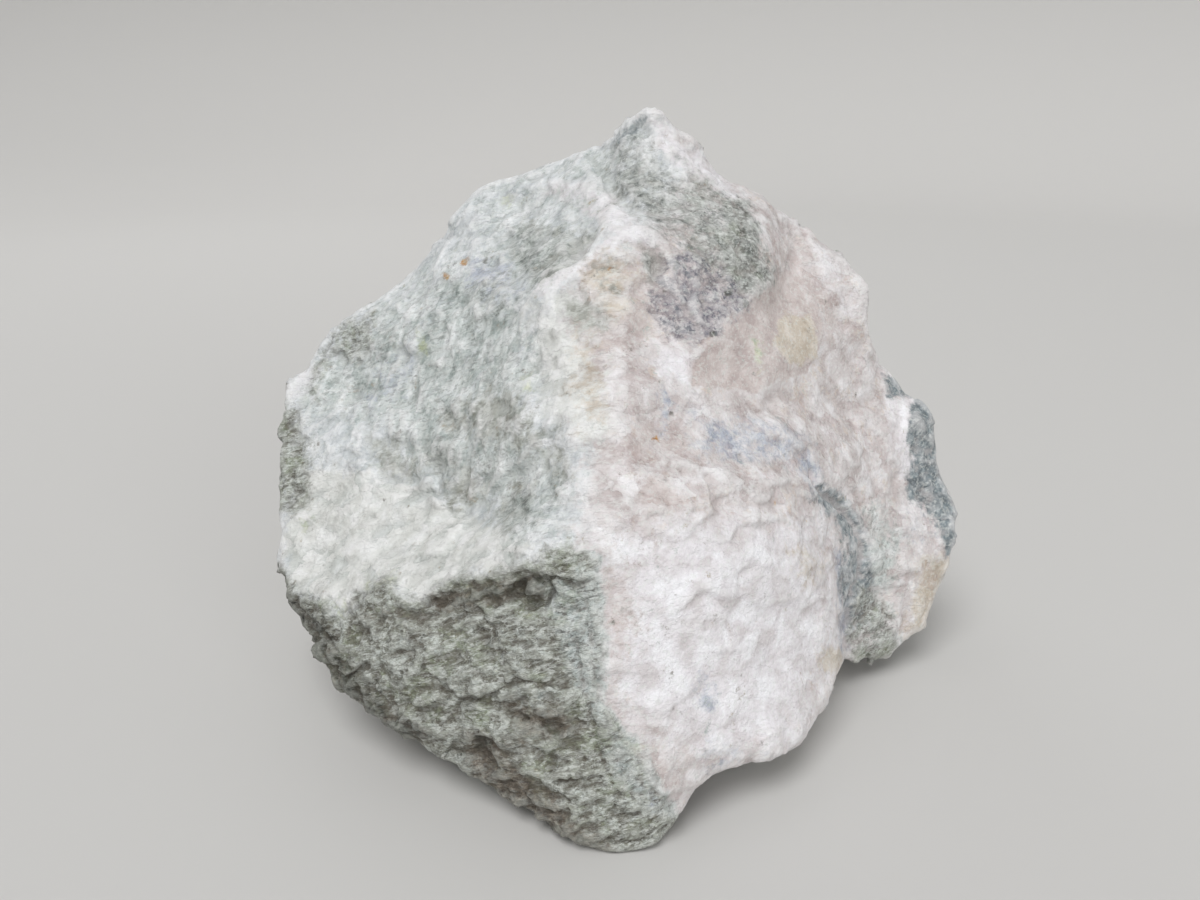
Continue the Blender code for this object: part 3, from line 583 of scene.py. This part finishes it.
def hidden_minerals(points):
    """How the minerals lie on the back, the flanks and the underside."""
    x, y, z = points.T
    bands = noise_at(points, 34, 3.1)
    patches = noise_at(points, 15, 8.7)
    seams = np.abs(noise_at(points * [1, 1, 0.45], 12, 14.2))
    crumbs = noise_at(points, 5.5, 60.3)
    towards_left = smoothstep(-20, -80, x)
    towards_floor = smoothstep(40, 8, z)
    rind = smoothstep(0.02, 0.14, 0.8 * bands + 0.35 * patches + 0.18 * crumbs + 0.08
                      + 0.25 * towards_left + 0.25 * towards_floor)
    lobe = smoothstep(45, 75, x)
    bare = 1 - rind
    return {
        "rind": rind * (1 - 0.5 * lobe),
        "cool": smoothstep(-0.2, 0.2, bands),
        "teal": smoothstep(0.10, 0.02, seams) * 0.8 + 0.5 * lobe * rind,
        "green": bare * smoothstep(-0.1, 0.25, patches + 0.1),
        "cream": bare * smoothstep(0.0, 0.3, -patches),
        "pink": bare * smoothstep(0.1, 0.4, -bands) * 0.7,
        "blue": bare * smoothstep(0.16, 0.05, seams) * 0.7,
        "smoke": bare * smoothstep(0.25, 0.4, noise_at(points, 10, 21.0)),
        "patch": smoothstep(0.3, 0.45, noise_at(points, 24, 30.5)) * bare,
        "umber": rind * smoothstep(0.0, 0.35, noise_at(points, 22, 40.2)),
        "frost": rind * smoothstep(0.1, 0.4, noise_at(points, 18, 52.6)) * 0.7,
    }


def mineral_masks(points, normals):
    """How much of each mineral lies at each point, from 0 to 1."""
    front = front_share(points, normals)
    pixels = wavered(to_pixels(points)[0], points)
    hidden = hidden_minerals(points)
    masks = {}
    for mineral, *_ in MINERALS:
        seen = np.zeros(len(points))
        for outline, softness, strength in ZONES.get(mineral, ()):
            seen = np.maximum(seen, strength * inside_outline(pixels, outline, EDGE_BLUR * softness))
        for kind, centre, radius, strength in SPOTS:
            if kind == mineral:
                seen = np.maximum(seen, strength * near_pixel(pixels, centre, 0.4 * radius, 1.4 * radius))
        masks[mineral] = front * seen + (1 - front) * hidden.get(mineral, 0)
    return masks


# ---- the fine surface ----
def drawn_relief(points, front, dark_part):
    """Height in mm of the ledges, cracks and pits that are drawn; ledges are weaker in the white."""
    pixels, depth = to_pixels(points)
    pixels = wavered(pixels, points, 0.7)
    scale = depth / FOCAL_PIXELS
    height = np.zeros(len(points))

    def nearest(line, reach):
        """The points near a line of pixels, their distance to it in mm and which side of it they are on."""
        low = np.min(line, axis=0) - reach
        high = np.max(line, axis=0) + reach
        near = np.flatnonzero(((pixels > low) & (pixels < high)).all(axis=1))
        best = np.full(len(near), 1e9)
        side = np.ones(len(near))
        for a, b in zip(line, line[1:]):
            distance, sign = segment_distances(pixels[near], a, b)
            closer = distance < best
            best = np.where(closer, distance, best)
            side = np.where(closer, sign, side)
        return near, best * scale[near], side

    for drop, width, line in LEDGES:
        near, distance, side = nearest(line, LEDGE_REACH)
        step = -0.55 * side * smoothstep(0.0, 0.6, distance) * np.exp(-(distance / (2.8 * width)) ** 1.5)
        foot = -0.12 * np.exp(-((side * distance - 0.9) / 0.8) ** 2)
        strength = LEDGE_IN_WHITE + (1 - LEDGE_IN_WHITE) * dark_part[near]
        height[near] += LEDGE_STRENGTH * drop * (step + foot) * strength
    for depth_mm, half_width, line in CRACKS:
        near, distance, _ = nearest(line, CRACK_REACH)
        height[near] -= depth_mm * np.exp(-(distance / half_width) ** 2)
    for centre, radius, depth_mm in PITS:
        height -= depth_mm * near_pixel(pixels, centre, 0.15 * radius, radius)
    return height * front


def flake_height(point, frame_axes, size, lean):
    """Broken facets, long, wide and deep along three axes; every cell has its own tilt, round a lean."""
    spot = Vector([point.dot(axis) / length for axis, length in zip(frame_axes, size)])
    distances, centres = noise.voronoi(spot)
    tilt = noise.cell_vector(centres[0] * 19.7) * 2 - Vector((1, 1, 1))
    dish = distances[0] * distances[0] - 0.25
    return (spot - centres[0]).dot(tilt + lean) + 0.35 * dish


def ledge_height(point, grain, step):
    """Ledges across the grain: a slow rise and a sharp drop, in broken stretches."""
    rise = (point.dot(grain) / step + 1.3 * noise.noise(point / 9) + 0.5 * noise.noise(point / 3)) % 1
    drop = min(max((rise - 0.72) / 0.28, 0), 1)
    broken = min(max((noise.noise(point / 6 + Vector((9, 0, 4))) + 0.1) / 0.4, 0), 1)
    return broken * (rise - drop * drop * (3 - 2 * drop))


def fibre_height(point, bent, along):
    """Fibres that run along a direction."""
    strand = (bent - 0.72 * bent.dot(along) * along) / 2.4
    return 0.8 * noise.noise(point / 3.3) - 1.6 * abs(noise.noise(strand))


def crumpled(point, size, strength):
    """A point moved by noise, so that facets and ledges have crooked edges."""
    spot = point / size
    shift = Vector((noise.noise(spot), noise.noise(spot.yzx + Vector((7, 0, 3))), noise.noise(spot.zxy)))
    return point + strength * shift


def zone_shares(masks, front, pixels):
    """How far each point belongs to each zone of roughness."""
    rind = masks["rind"]
    patch = np.clip(np.maximum(masks["patch"], masks["teal"]) - rind, 0, 1)
    right = front * inside_outline(pixels, SUGAR_OUTLINE, 25)
    smooth = front * inside_outline(pixels, SMOOTH_OUTLINE, 10)
    flaky = right * inside_outline(pixels, FLAKY_OUTLINE, 30)
    plain = np.clip(1 - rind - patch, 0, 1)
    powder = front * inside_outline(pixels, POWDER_OUTLINE, 25) * (1 - right)
    return {
        "rind": rind,
        "patch": patch,
        "smooth": plain * smooth,
        "flaky": plain * (1 - smooth) * flaky,
        "sugar": plain * (1 - smooth) * (right - flaky).clip(0, 1),
        "powder": plain * powder,
        "slope": plain * (1 - smooth) * (1 - right - powder).clip(0, 1),
    }


def square_axes(along, up):
    """Three axes at right angles: along, across, and the up that is nearest to the one given."""
    along = Vector(along).normalized()
    across = Vector(up).cross(along).normalized()
    return along, across, along.cross(across)


def grown_relief(points, masks, front, pixels):
    """Height in mm of the fine surface that noise makes, zone by zone."""
    rind_axes = square_axes(ALONG_RIND, (-0.35, 0.15, 0.92))
    white_axes = square_axes(ALONG_WHITE, (0.18, 0.30, 0.94))
    slope_axes = square_axes(DOWN_SLOPE, (-0.80, 0.60, 0.0))
    shares = zone_shares(masks, front, pixels)
    amounts = sum(shares[zone][:, None] * np.array([ROUGHNESS[zone]]) for zone in shares)
    amounts *= 1 - CALM_RELIEF * (front * inside_outline(pixels, CALM_OUTLINE, 25))[:, None]
    hidden = (1 - front) * smoothstep(TIP_LEVEL, TIP_LEVEL - TIP_FADE, points[:, 2])
    amounts[:, :2] *= 1 + hidden[:, None] * np.array([HIDDEN_RELIEF])
    height = np.zeros(len(points))
    for number, place in enumerate(points):
        point = Vector(place) + NOISE_START
        bent = crumpled(point, 7.0, 1.3)
        in_rind = masks["rind"][number] > 0.5
        axes = rind_axes if in_rind else white_axes
        if shares["slope"][number] > 0.5:
            axes = slope_axes
        lean = SHINGLED * (shares["flaky"][number] + 0.5 * shares["sugar"][number])
        thin = RIND_THINNESS if in_rind else 1.0
        *facets, ledges, fibres, grain = amounts[number]
        total = sum(amount * flake_height(bent, axes, (length, width, thin * depth), lean)
                    for amount, (length, width, depth) in zip(facets, FACETS))
        total += grain * noise.noise(point / 1.5)
        if ledges > 0.02:
            total += ledges * ledge_height(bent, axes[2], RIND_LEDGES if in_rind else WHITE_LEDGES)
        if fibres > 0.02:
            total += fibres * fibre_height(point, bent, axes[0])
        height[number] = total
    return height


# ---- the stone's mesh ----
def mesh_arrays(mesh):
    """Places, in millimetres, and normals of a mesh's points."""
    points = np.empty(len(mesh.vertices) * 3)
    mesh.vertices.foreach_get("co", points)
    normals = np.empty(len(mesh.vertices) * 3)
    mesh.vertex_normals.foreach_get("vector", normals)
    return points.reshape(-1, 3) / MM, normals.reshape(-1, 3)


def apply_modifiers(piece):
    """Turn what the modifiers make into the piece's own mesh."""
    depsgraph = bpy.context.evaluated_depsgraph_get()
    mesh = bpy.data.meshes.new_from_object(piece.evaluated_get(depsgraph))
    piece.modifiers.clear()
    piece.data = mesh


def make_skin():
    """An even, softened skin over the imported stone."""
    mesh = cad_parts["boulder"].data.copy()
    welded = bmesh.new()
    welded.from_mesh(mesh)
    bmesh.ops.remove_doubles(welded, verts=welded.verts, dist=1e-6)
    welded.to_mesh(mesh)
    welded.free()
    stone = bpy.data.objects.new("jade_stone", mesh)
    bpy.context.scene.collection.objects.link(stone)
    skin = stone.modifiers.new("skin", "REMESH")
    skin.mode = "VOXEL"
    skin.voxel_size = SKIN_VOXEL * MM
    soften = stone.modifiers.new("soften", "SMOOTH")
    soften.factor = 0.5
    soften.iterations = SKIN_SMOOTHING
    apply_modifiers(stone)
    return stone


def moved_out(points, normals, height):
    """Move points along their normals by a height in mm, and hold them inside the CAD box."""
    low = np.array(cad_box[0]) / MM + BOX_MARGIN * np.array([1, 1, 0])
    high = np.array(cad_box[1]) / MM - BOX_MARGIN
    gap = np.where(normals > 0, high - points, points - low) / np.maximum(np.abs(normals), 0.001)
    room = np.maximum(gap.min(axis=1), 0.05)
    height = height - 0.6 * np.exp(-room)
    height = np.where(height > 0, room * np.tanh(height / room), height)
    return np.clip(points + normals * height[:, None], low, high)


def spread_out(mesh, values, rounds):
    """Values on a mesh's points, averaged with their neighbours' a number of times."""
    ends = np.empty(len(mesh.edges) * 2, int)
    mesh.edges.foreach_get("vertices", ends)
    a, b = ends.reshape(-1, 2).T
    size = len(mesh.vertices)
    count = np.maximum(np.bincount(a, minlength=size) + np.bincount(b, minlength=size), 1)
    for _ in range(rounds):
        total = np.bincount(a, values[b], size) + np.bincount(b, values[a], size)
        values = total / count
    return values


def spread_places(mesh, points, rounds):
    """Places of a mesh's points, averaged with their neighbours' a number of times."""
    return np.column_stack([spread_out(mesh, points[:, axis], rounds) for axis in range(3)])


def softened(mesh, height, share):
    """Round the sharp steps of a height, by a share of its own at every point."""
    return height + share * (spread_out(mesh, height, 2) - height)


def trimmed(points):
    """Push the tip back where it is slimmer than the solid."""
    pixels = to_pixels(points)[0]
    for centre, radius, way in TRIMS:
        points = points + near_pixel(pixels, centre, 0.15 * radius, radius)[:, None] * np.array(way)
    return points


def thin_out(stone, front):
    """Bring the mesh down to SKIN_TRIANGLES, more so on the hidden sides than on the front."""
    triangles = 2 * len(stone.data.polygons)
    stone.modifiers.new("triangles", "TRIANGULATE")
    collapse = stone.modifiers.new("thin", "DECIMATE")
    collapse.ratio = SKIN_TRIANGLES / triangles
    hidden = stone.vertex_groups.new(name="hidden")
    for number, share in enumerate(1 - FRONT_KEPT * front):
        hidden.add([number], float(share), "REPLACE")
    collapse.vertex_group = hidden.name
    apply_modifiers(stone)


def sculpt(stone):
    """Break the skin's surface, and thin it where it stays plain."""
    mesh = stone.data
    points, normals = mesh_arrays(mesh)
    front = front_share(points, normals)
    calm = CALM_SHARE * front * inside_outline(to_pixels(points)[0], CALM_OUTLINE, 25)
    points = points + calm[:, None] * (spread_places(mesh, points, CALM_ROUNDS) - points)
    masks = mineral_masks(points, normals)
    height = grown_relief(points, masks, front, to_pixels(points)[0])
    height += drawn_relief(points, front, np.maximum(masks["rind"], masks["cool"]))
    height = softened(mesh, height, 0.45 - 0.4 * masks["rind"])
    height *= smoothstep(*FOOT_FADE, points[:, 2])
    points = trimmed(moved_out(points, normals, height))
    mesh.vertices.foreach_set("co", (points * MM).ravel())
    mesh.update()
    thin_out(stone, front)
    stone.data.shade_smooth()


def paint_masks(stone):
    """Store the masks on the mesh, where the material reads them."""
    mesh = stone.data
    points, normals = mesh_arrays(mesh)
    masks = mineral_masks(points, normals)
    # hollow carries dirt and painted shade into the crevices, crest carries wear and painted highlight onto
    # the ridges.
    depth = ((spread_places(mesh, points, HOLLOW_ROUNDS) - points) * normals).sum(axis=1)
    masks["hollow"] = smoothstep(*HOLLOW_DEPTHS, depth)
    masks["crest"] = smoothstep(*HOLLOW_DEPTHS, -depth)
    masks["even"] = front_share(points, normals) * inside_outline(to_pixels(points)[0], SMOOTH_OUTLINE, 12)
    for name, values in masks.items():
        layer = mesh.attributes.new(name, "FLOAT", "POINT")
        layer.data.foreach_set("value", values.astype(np.float32))


# ---- the material ----
def linear(srgb):
    """Scene colour of an sRGB colour given as 0 to 255."""
    channels = [c / 255 for c in srgb]
    return [c / 12.92 if c <= 0.04045 else ((c + 0.055) / 1.055) ** 2.4 for c in channels] + [1]


def tint(name):
    """Scene colour of a mark or a wash."""
    return linear(TINTS[name])


class Nodes:
    """Short calls for the nodes that the stone's material uses."""

    def __init__(self, material):
        material.use_nodes = True
        self.tree = material.node_tree
        self.surface = self.tree.nodes["Principled BSDF"]
        self.place = self.tree.nodes.new("ShaderNodeTexCoord").outputs["Object"]

    def put(self, kind, inputs=None, **settings):
        """Add a node; inputs are sockets or plain values by name or number."""
        node = self.tree.nodes.new(kind)
        for name, value in settings.items():
            setattr(node, name, value)
        for name, value in (inputs or {}).items():
            if isinstance(value, bpy.types.NodeSocket):
                self.tree.links.new(value, node.inputs[name])
            else:
                node.inputs[name].default_value = value
        return node

    def math(self, operation, a, b=0.0):
        return self.put("ShaderNodeMath", {0: a, 1: b}, operation=operation).outputs[0]

    def times(self, a, b):
        return self.math("MULTIPLY", a, b)

    def plus(self, a, b):
        return self.math("ADD", a, b)

    def vector(self, operation, a, b):
        return self.put("ShaderNodeVectorMath", {0: a, 1: b}, operation=operation).outputs

    def channels(self, colour):
        return self.put("ShaderNodeSeparateColor", {"Color": colour}).outputs

    def mask(self, name):
        """What paint_masks stored under a name."""
        return self.put("ShaderNodeAttribute", attribute_name=name).outputs["Fac"]

    def between(self, value, low, high, start=0.0, end=1.0):
        """value's smooth rise from low to high, turned into start to end."""
        node = self.put("ShaderNodeMapRange", {"Value": value, "From Min": low, "From Max": high,
                                               "To Min": start, "To Max": end},
                        interpolation_type="SMOOTHSTEP")
        return node.outputs["Result"]

    def blend(self, share, a, b, mode="MIX"):
        """Mix two colours."""
        node = self.put("ShaderNodeMix", {0: share, 6: a, 7: b}, data_type="RGBA", blend_type=mode)
        return node.outputs[2]

    def drawn_out(self, direction, stretch):
        """Coordinates in which patches come out longer along a direction."""
        direction = Vector(direction).normalized()
        along = self.vector("DOT_PRODUCT", self.place, direction)["Value"]
        amount = self.times(along, 1 / stretch - 1)
        shift = self.put("ShaderNodeVectorMath", {0: direction, "Scale": amount}, operation="SCALE")
        return self.vector("ADD", self.place, shift.outputs[0])[0]

    def noise(self, size_mm, detail, roughness=0.6, distortion=0.0, place=None):
        """Coloured noise with patches of a size in mm."""
        node = self.put("ShaderNodeTexNoise", {
            "Vector": place or self.place, "Scale": 1 / (size_mm * MM), "Detail": detail,
            "Roughness": roughness, "Distortion": distortion})
        return node.outputs["Color"]

    def cells(self, size_mm, place=None, feature="F1"):
        """Outputs of Voronoi cells of a size in mm."""
        return self.put("ShaderNodeTexVoronoi", {"Vector": place or self.place, "Scale": 1 / (size_mm * MM)},
                        feature=feature).outputs

    def chips(self, size_mm, place):
        """Facets: over every cell the height rises a way of its own."""
        cell = self.cells(size_mm, place)
        offset = self.vector("SUBTRACT", place, cell["Position"])[0]
        way = self.vector("SUBTRACT", cell["Color"], (0.5, 0.5, 0.5))[0]
        rise = self.vector("DOT_PRODUCT", offset, way)["Value"]
        return self.times(rise, 2 / (size_mm * MM))


def noise_fields(nodes):
    """The three channels of every field of noise, by its name."""
    fields = {}
    for name, (size, detail, roughness, distortion, drawn) in FIELDS.items():
        place = nodes.drawn_out(*drawn) if drawn else None
        fields[name] = nodes.channels(nodes.noise(size, detail, roughness, distortion, place))
    for name, ((first, first_share), (second, second_share)) in MIXED_FIELDS.items():
        fields[name] = [nodes.plus(nodes.times(fields[first][channel], first_share),
                                   nodes.times(fields[second][channel], second_share))
                        for channel in range(3)]
    return fields


def mineral_colour(nodes, tones, patches, spread):
    """Three tones, laid out by a field of noise; a small spread makes them contrast more."""
    dark, middle, light = (linear(tone) for tone in tones)
    lower = nodes.blend(nodes.between(patches, 0.50 - spread, 0.50), dark, middle)
    return nodes.blend(nodes.between(patches, 0.50, 0.50 + spread), lower, light)


def white_stone(nodes, fields):
    """The white under all minerals, with thin grey threads and warm stains in it."""
    colour = mineral_colour(nodes, WHITE_TONES, fields["cloud"][2], SPREAD["cloud"])
    crooked = nodes.blend(THREAD_SWAY, nodes.place, nodes.noise(5.0, 2), "ADD")
    to_edge = nodes.cells(THREAD_SPACING, crooked, "DISTANCE_TO_EDGE")["Distance"]
    threads = nodes.times(nodes.between(to_edge, 0.0, 0.05, 1.0, 0.0),
                          nodes.between(fields["soft"][1], 0.50, 0.62, 0.0, 0.4))
    colour = nodes.blend(threads, colour, tint("grey thread"))
    stains = nodes.between(nodes.times(fields["soft"][0], fields["fine"][1]), 0.27, 0.40, 0.0, 0.5)
    return nodes.blend(stains, colour, tint("warm stain"))


def with_minerals(nodes, fields, colour):
    """Lay the minerals over a colour, each within its mask and with ragged edges; shade, dark and umber also
    carry painted shade.
    """
    for number, (mineral, field, channel, tones) in enumerate(MINERALS):
        ragged = nodes.plus(fields["soft"][number % 3], nodes.times(fields["fine"][(number + 1) % 3], 1.5))
        wander = nodes.math("SUBTRACT", ragged, 1.25)
        share = nodes.between(nodes.plus(nodes.mask(mineral), wander), 0.22, 0.82)
        stained = mineral_colour(nodes, tones, fields[field][channel], SPREAD[field])
        colour = nodes.blend(share, colour, stained)
    return colour


def with_chips(nodes, colour, chips, on_white):
    """Chips in the white stone: each fades into painted shade towards one edge, and gets a painted highlight
    the other way.
    """
    shade_most = nodes.between(nodes.mask("clean"), 0.0, 1.0, 0.60, 0.14)
    shaded = nodes.times(nodes.times(on_white, shade_most), nodes.between(chips, -0.05, -0.60))
    shade = nodes.blend(nodes.mask("cool"), tint("chip shade"), tint("cool chip shade"))
    colour = nodes.blend(shaded, colour, shade, "MULTIPLY")
    painted_highlight = nodes.times(on_white, nodes.between(chips, 0.05, 0.50, 0.0, 0.25))
    return nodes.blend(painted_highlight, colour, tint("chip highlight"))


def with_rind_marks(nodes, fields, colour, on_rough, not_umber):
    """Brown and mossy washes on the rind, and light and dark strands through it."""
    brown = nodes.times(on_rough, nodes.between(fields["soft"][0], 0.48, 0.64, 0.0, 0.35))
    colour = nodes.blend(brown, colour, tint("brown wash"), "MULTIPLY")
    mossy = nodes.times(on_rough, nodes.between(fields["soft"][1], 0.50, 0.64, 0.0, 0.45))
    colour = nodes.blend(nodes.times(mossy, not_umber), colour, tint("moss"))
    strands = (("light strand", 0, 0.45, not_umber), ("dark strand", 1, 0.50, 1.0))
    for name, channel, most, where in strands:
        near = nodes.math("ABSOLUTE", nodes.math("SUBTRACT", fields["strand"][channel], 0.5))
        share = nodes.times(nodes.between(near, 0.0, 0.022, most, 0.0), on_rough)
        colour = nodes.blend(nodes.times(share, where), colour, tint(name))
    return colour


def with_flecks(nodes, fields, colour, rough, not_umber):
    """Dark flecks in the rind, pale ones in the rind and the slope, blue-black ones in the lilac patch."""
    green = nodes.math("MAXIMUM", nodes.mask("green"), nodes.mask("patch"))
    dark_most = nodes.plus(nodes.between(rough, 0.2, 0.8, 0.06, 0.40),
                           nodes.between(green, 0.2, 0.8, 0.0, 0.28))
    dark = nodes.times(nodes.between(fields["fleck"][0], 0.48, 0.38), dark_most)
    colour = nodes.blend(dark, colour, tint("dark fleck"))
    pale = nodes.times(nodes.between(fields["fleck"][1], 0.51, 0.63),
                       nodes.between(rough, 0.2, 0.8, 0.40, 0.60))
    colour = nodes.blend(nodes.times(pale, not_umber), colour, tint("pale fleck"))
    specks = nodes.times(nodes.between(nodes.mask("lilac"), 0.25, 0.8, 0.0, 0.70),
                         nodes.between(nodes.times(fields["fine"][0], fields["fibre"][2]), 0.27, 0.34))
    return nodes.blend(specks, colour, tint("lilac speck"))


def with_dirt_wear_and_painted_light(nodes, colour, rough, on_rough):
    """Darker crevices, partly dirt and partly painted shade; paler crests, partly wear and partly painted
    highlight.
    """
    dirt_and_shade = nodes.times(nodes.mask("hollow"), nodes.between(rough, 0, 1, 0.45, 0.55))
    dirt_and_shade = nodes.times(dirt_and_shade, nodes.between(nodes.mask("clean"), 0.0, 1.0, 1.0, 0.5))
    pale_dirt_and_shade = nodes.blend(nodes.mask("cool"), tint("dirt_and_shade"), tint("cool dirt"))
    colour = nodes.blend(dirt_and_shade, colour, nodes.blend(on_rough, pale_dirt_and_shade, tint("rind dirt")))
    worn_and_lit = nodes.times(nodes.mask("crest"), nodes.between(rough, 0, 1, 0.40, 0.35))
    return nodes.blend(worn_and_lit, colour, nodes.blend(on_rough, tint("worn_and_lit"), tint("worn rind")))


def shader_roughness(nodes, fields, rough):
    """Duller on the rind, with single glossy grains."""
    grains = nodes.channels(nodes.cells(GRAIN_SIZE)["Color"])
    value = nodes.plus(nodes.between(fields["fine"][0], 0.3, 0.7, 0.42, 0.66),
                       nodes.between(rough, 0, 1, 0.0, 0.16))
    return nodes.math("SUBTRACT", value, nodes.between(grains[0], 0.88, 0.95, 0.0, 0.25))


def bump(nodes, fields, chips, rough, on_rough):
    """Chips, grain and fibres that are too fine for the mesh."""
    uneven = nodes.between(nodes.mask("even"), 0.0, 1.0, 1.0, 0.1)
    cool_or_rough = nodes.math("MAXIMUM", nodes.mask("cool"), nodes.between(on_rough, 0, 1, 0.65, 1.0))
    chipped = nodes.times(uneven, cool_or_rough)
    chipped = nodes.times(chipped, nodes.between(nodes.mask("clean"), 0.0, 1.0, 1.0, 0.45))
    grainy = nodes.between(rough, 0.2, 0.8, 0.25, 1.0)
    patterns = [(nodes.times(pattern, chipped), CHIP_BUMP) for pattern in chips]
    patterns.append((nodes.times(fields["fine"][0], grainy), GRAIN_BUMP))
    patterns.append((nodes.times(fields["fibre"][1], grainy), GRAIN_BUMP))
    patterns.append((fields["fleck"][2], FLECK_BUMP))
    height = 0.0
    for pattern, most in patterns:
        height = nodes.plus(nodes.times(pattern, most), height)
    return nodes.put("ShaderNodeBump", {"Height": height, "Distance": MM, "Strength": 1.0}).outputs[0]


def jade_material():
    """White jade stained and veined with its other minerals."""
    material = bpy.data.materials.new("jade")
    nodes = Nodes(material)
    fields = noise_fields(nodes)
    rough = nodes.math("MAXIMUM", nodes.mask("rind"), nodes.times(nodes.mask("patch"), 0.55))
    on_rough = nodes.between(rough, 0.2, 0.8)
    on_white = nodes.math("SUBTRACT", 1.0, nodes.math("MAXIMUM", on_rough, nodes.mask("even")))
    not_umber = nodes.between(nodes.mask("umber"), 0.0, 1.0, 1.0, 0.2)
    bent = nodes.blend(CHIP_SWAY, nodes.drawn_out(ALONG_WHITE, 1.8), nodes.noise(2.6, 2, 0.65), "ADD")
    chips = [nodes.chips(size, bent) for size in CHIP_SIZES]
    colour = with_minerals(nodes, fields, white_stone(nodes, fields))
    colour = with_chips(nodes, colour, chips[0], on_white)
    colour = with_rind_marks(nodes, fields, colour, on_rough, not_umber)
    colour = with_flecks(nodes, fields, colour, rough, not_umber)
    colour = with_dirt_wear_and_painted_light(nodes, colour, rough, on_rough)
    made = {
        "Base Color": colour,
        "Roughness": shader_roughness(nodes, fields, rough),
        "Normal": bump(nodes, fields, chips, rough, on_rough),
    }
    for name, socket in made.items():
        nodes.tree.links.new(socket, nodes.surface.inputs[name])
    nodes.surface.inputs["Specular IOR Level"].default_value = JADE_SPECULAR
    return material


# ---- the studio ----
def pale_floor():
    """A round pale floor whose rim sweeps up into a low wall."""
    profile = [(0, 0), (FLOOR_RADIUS - FLOOR_SWEEP, 0)]
    for number in range(1, SWEEP_STEPS + 1):
        turn = math.pi / 2 * number / SWEEP_STEPS
        profile.append((FLOOR_RADIUS - FLOOR_SWEEP + FLOOR_SWEEP * math.sin(turn),
                        FLOOR_SWEEP * (1 - math.cos(turn))))
    profile.append((FLOOR_RADIUS, WALL_HEIGHT))
    mesh = bpy.data.meshes.new("floor")
    mesh.from_pydata([(x, 0, z) for x, z in profile], [(n, n + 1) for n in range(len(profile) - 1)], [])
    floor = bpy.data.objects.new("floor", mesh)
    bpy.context.scene.collection.objects.link(floor)
    turned = floor.modifiers.new("turn", "SCREW")
    turned.steps = turned.render_steps = 96
    turned.use_merge_vertices = True
    turned.merge_threshold = 0.0001
    turned.use_smooth_shade = True
    material = bpy.data.materials.new("floor")
    material.use_nodes = True
    surface = material.node_tree.nodes["Principled BSDF"]
    surface.inputs["Base Color"].default_value = linear(FLOOR_COLOUR)
    surface.inputs["Roughness"].default_value = 0.8
    mesh.materials.append(material)


def soft_light(name, kind, towards, spread, strength):
    """A lamp aimed at the stone; towards points from the stone to the lamp, in metres."""
    light = bpy.data.lights.new(name, kind)
    light.energy = strength
    if kind == "SUN":
        light.angle = math.radians(spread)
    else:
        light.size = spread
        light.spread = math.radians(LAMP_FAN)
    lamp = bpy.data.objects.new(name, light)
    bpy.context.scene.collection.objects.link(lamp)
    lamp.location = towards
    lamp.rotation_euler = Vector(towards).to_track_quat("Z", "Y").to_euler()
    lamp.visible_camera = False


def studio():
    """Camera, soft lights and a pale surround."""
    scene = bpy.context.scene
    camera = bpy.data.cameras.new("camera")
    camera.sensor_width = SENSOR_WIDTH
    camera.lens = SENSOR_WIDTH * FOCAL_PIXELS / IMAGE_WIDTH
    camera.clip_start = 0.01
    eye = bpy.data.objects.new("camera", camera)
    scene.collection.objects.link(eye)
    eye.location = CAMERA_AT
    eye.rotation_euler = (math.radians(90) - CAMERA_DIP, 0, 0)
    scene.camera = eye
    for lamp in LAMPS:
        soft_light(*lamp)
    world = bpy.data.worlds.new("world")
    scene.world = world
    world.use_nodes = True
    surround = world.node_tree.nodes["Background"]
    surround.inputs["Color"].default_value = (1, 1, 1, 1)
    surround.inputs["Strength"].default_value = SURROUND_STRENGTH
    scene.view_settings.view_transform = "Standard"


stone = make_skin()
sculpt(stone)
paint_masks(stone)
stone.data.materials.clear()
stone.data.materials.append(jade_material())
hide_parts("boulder")
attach(stone, "root")
pale_floor()
studio()
